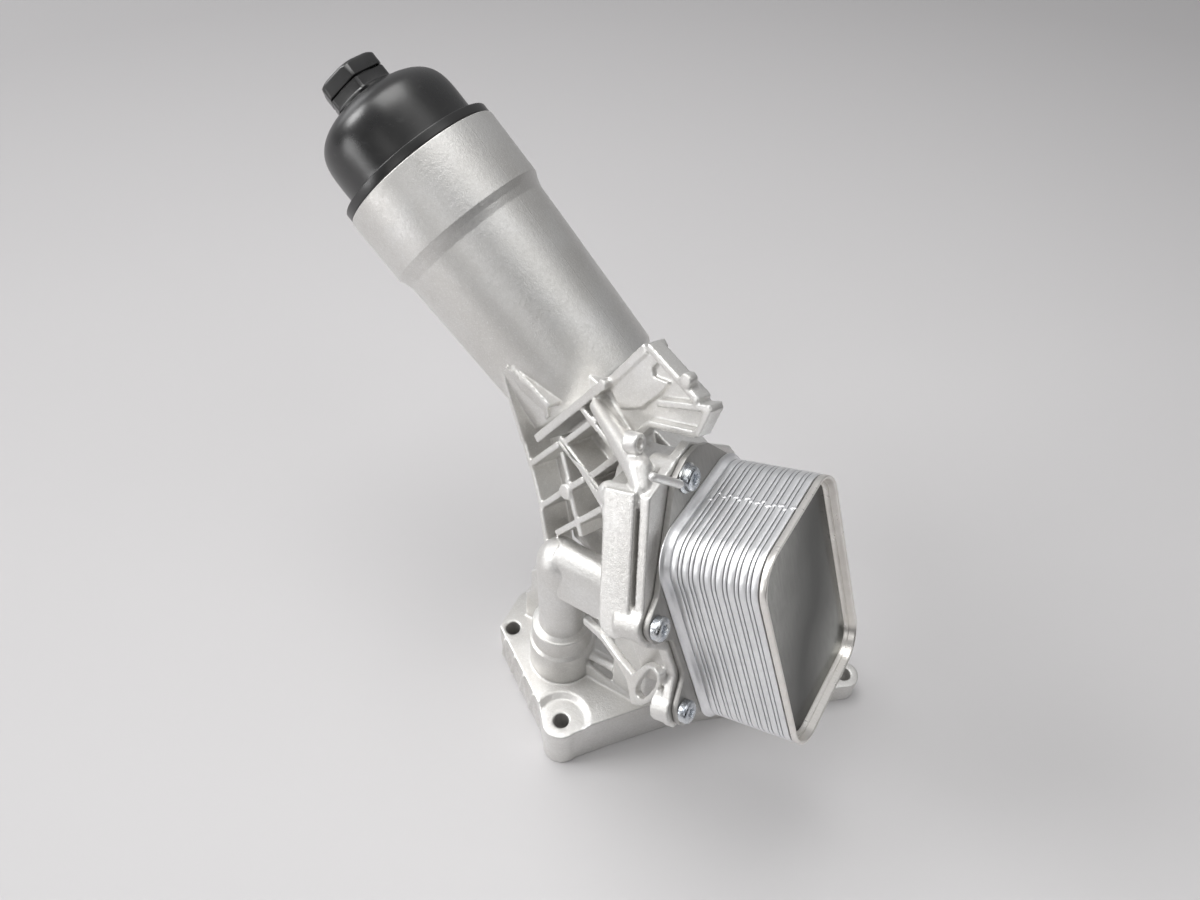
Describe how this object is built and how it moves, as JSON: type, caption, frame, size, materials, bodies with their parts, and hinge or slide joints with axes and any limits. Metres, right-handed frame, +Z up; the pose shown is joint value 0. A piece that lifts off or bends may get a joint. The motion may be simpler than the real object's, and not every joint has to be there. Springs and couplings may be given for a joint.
{
  "type": "oil filter housing",
  "caption": "Die-cast oil filter housing with a screw cap, a replaceable filter element, a bypass valve and a plate oil cooler, bolted to an engine block.",
  "frame": {"origin": "axis of the riser pipe at the mounting face of the flange", "axes": "+Z up, out of the mounting face along the riser pipe; +X towards the side that the oil cooler faces; the filter can leans back to -X"},
  "size_m": [0.3536, 0.18, 0.332],
  "materials": {
    "cast_aluminium": "as-cast, fine grain, matt",
    "black_plastic": "satin moulded polyamide",
    "black_plastic_matt": "moulded polyamide",
    "seal_rubber": "smooth elastomer",
    "filter_paper": "resin treated paper",
    "green_plastic": "moulded polyamide",
    "white_plastic": "moulded acetal",
    "spring_steel": "drawn wire",
    "cooler_sheet": "bright rolled sheet, brazed",
    "tray_sheet": "satin grey sheet",
    "zinc_steel": "zinc plated"
  },
  "bodies": {
    "housing": {"housing_casting": "cast_aluminium", "standpipe": "black_plastic_matt", "valve_cage": "black_plastic_matt", "valve_spring": "spring_steel", "cooler_mounting_plate": "cooler_sheet", "cooler_base_plate": "cooler_sheet", "cooler_end_tray": "tray_sheet", "cooler_screws": "zinc_steel", "cooler_port_seals": "seal_rubber", "flange_gasket": "seal_rubber", "cooler_plate_01": "cooler_sheet", "cooler_plate_02": "cooler_sheet", "cooler_plate_03": "cooler_sheet", "cooler_plate_04": "cooler_sheet", "cooler_plate_05": "cooler_sheet", "cooler_plate_06": "cooler_sheet", "cooler_plate_07": "cooler_sheet", "cooler_plate_08": "cooler_sheet", "cooler_plate_09": "cooler_sheet", "cooler_plate_10": "cooler_sheet", "cooler_plate_11": "cooler_sheet", "cooler_plate_12": "cooler_sheet", "cooler_plate_13": "cooler_sheet", "cooler_plate_14": "cooler_sheet", "cooler_plate_15": "cooler_sheet"},
    "filter_insert": {"filter_media": "filter_paper", "upper_end_cap": "green_plastic", "lower_end_cap": "green_plastic", "core_tube": "green_plastic", "element_seal": "seal_rubber"},
    "cap": {"filter_cap": "black_plastic", "cap_seal_ring": "seal_rubber"},
    "bypass_valve": {"valve_poppet": "white_plastic"}
  },
  "joints": [
    {"name": "insert_lift", "type": "slide", "parent": "housing", "child": "filter_insert", "axis": [-0.775, 0.0583, 0.6293], "range_m": [0, 0.028]},
    {"name": "cap_turn", "type": "hinge", "parent": "filter_insert", "child": "cap", "pos_m": [-0.137, 0.081, 0.2814], "axis": [-0.775, 0.0583, 0.6293], "range_deg": [0, 2520]},
    {"name": "bypass_open", "type": "slide", "parent": "housing", "child": "bypass_valve", "axis": [-0.775, 0.0583, 0.6293], "range_m": [0, 0.004], "stiffness_N_per_m": 800, "springref_m": -0.004, "deforming": ["valve_spring"]}
  ],
  "couplings": [
    {"joint": "cap_turn", "follows": "insert_lift", "rad_per_m": 1570.8}
  ]
}
